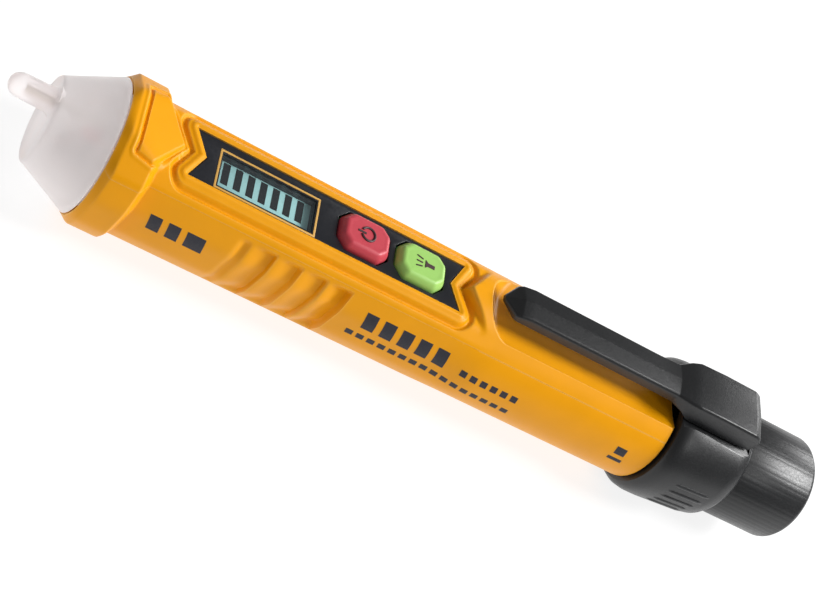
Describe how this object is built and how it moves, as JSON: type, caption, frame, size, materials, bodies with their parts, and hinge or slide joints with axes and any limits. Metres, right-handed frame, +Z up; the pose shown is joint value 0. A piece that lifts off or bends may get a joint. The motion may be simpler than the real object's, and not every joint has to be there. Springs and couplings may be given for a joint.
{
  "type": "non contact voltage tester",
  "caption": "Pen type voltage detector with a frosted sensing nose, bar display, push buttons, sprung pocket clip and a screw tail cap over its cells.",
  "frame": {"origin": "centre of the bounding box at the surface the tester lies on", "axes": "+X runs along the pen from the sensing nose to the tail cap, +Z points up towards the display and the clip, +Y across the pen"},
  "size_m": [0.16, 0.0256, 0.0277],
  "materials": {
    "yellow_plastic": "satin moulded plastic",
    "black_plastic": "satin moulded plastic",
    "fascia_black": "smooth printed fascia",
    "frosted_plastic": "frosted translucent plastic",
    "white_plastic": "matt white plastic",
    "lamp_lens": "clear epoxy lens",
    "red_plastic": "satin coloured plastic",
    "green_plastic": "satin coloured plastic",
    "window_clear": "clear polished window",
    "display_glass": "grey green display glass",
    "circuit_board": "green solder mask",
    "capacitor_body": "moulded resin",
    "plated_metal": "nickel plated",
    "cell_can": "printed film over a can",
    "black_rubber": "matt rubber"
  },
  "bodies": {
    "casing": {"nose_cone": "frosted_plastic", "sensor_rod": "plated_metal", "sensor_contact": "plated_metal", "lamp_holder": "white_plastic", "torch_lamp": "lamp_lens", "alarm_lamp": "red_plastic", "upper_housing": "yellow_plastic", "lower_housing": "yellow_plastic", "housing_screw_left": "plated_metal", "housing_screw_right": "plated_metal", "fascia_panel": "fascia_black", "display_window": "window_clear", "lcd_glass": "display_glass", "lcd_backlight": "white_plastic", "lcd_connector": "black_rubber", "power_switch": "black_plastic", "torch_switch": "black_plastic", "main_board": "circuit_board", "controller_chip": "black_plastic", "sense_amplifier": "black_plastic", "storage_capacitor": "capacitor_body", "buzzer": "black_plastic", "board_screw_front": "plated_metal", "board_screw_rear": "plated_metal", "front_contact": "plated_metal", "battery_front": "cell_can", "battery_rear": "cell_can", "return_strip": "plated_metal", "rear_collar": "black_plastic", "cap_seal": "black_rubber"},
    "power_key": {"power_button": "red_plastic", "power_plunger": "plated_metal"},
    "torch_key": {"torch_button": "green_plastic", "torch_plunger": "plated_metal"},
    "clip": {"pocket_clip": "black_plastic"},
    "cap_carriage": {"cap_contact": "plated_metal", "battery_spring": "plated_metal"},
    "screw_cap": {"tail_cap": "black_plastic"}
  },
  "joints": [
    {"name": "power_key_press", "type": "slide", "parent": "casing", "child": "power_key", "axis": [0, 0, -1], "range_m": [0, 0.0004], "stiffness_N_per_m": 1500, "springref_m": -0.0003},
    {"name": "torch_key_press", "type": "slide", "parent": "casing", "child": "torch_key", "axis": [0, 0, -1], "range_m": [0, 0.0004], "stiffness_N_per_m": 1500, "springref_m": -0.0003},
    {"name": "clip_flex", "type": "hinge", "parent": "casing", "child": "clip", "pos_m": [0.06, 0, 0.0249], "axis": [0, 1, 0], "range_deg": [0, 6], "stiffness_Nm_per_rad": 4, "springref_deg": -0.57},
    {"name": "cap_advance", "type": "slide", "parent": "casing", "child": "cap_carriage", "axis": [1, 0, 0], "range_m": [0, 0.003]},
    {"name": "cap_turn", "type": "hinge", "parent": "cap_carriage", "child": "screw_cap", "pos_m": [0.07, 0, 0.012], "axis": [1, 0, 0], "range_deg": [0, 725]}
  ],
  "couplings": [
    {"joint": "cap_turn", "follows": "cap_advance", "rad_per_m": 4188.8}
  ]
}
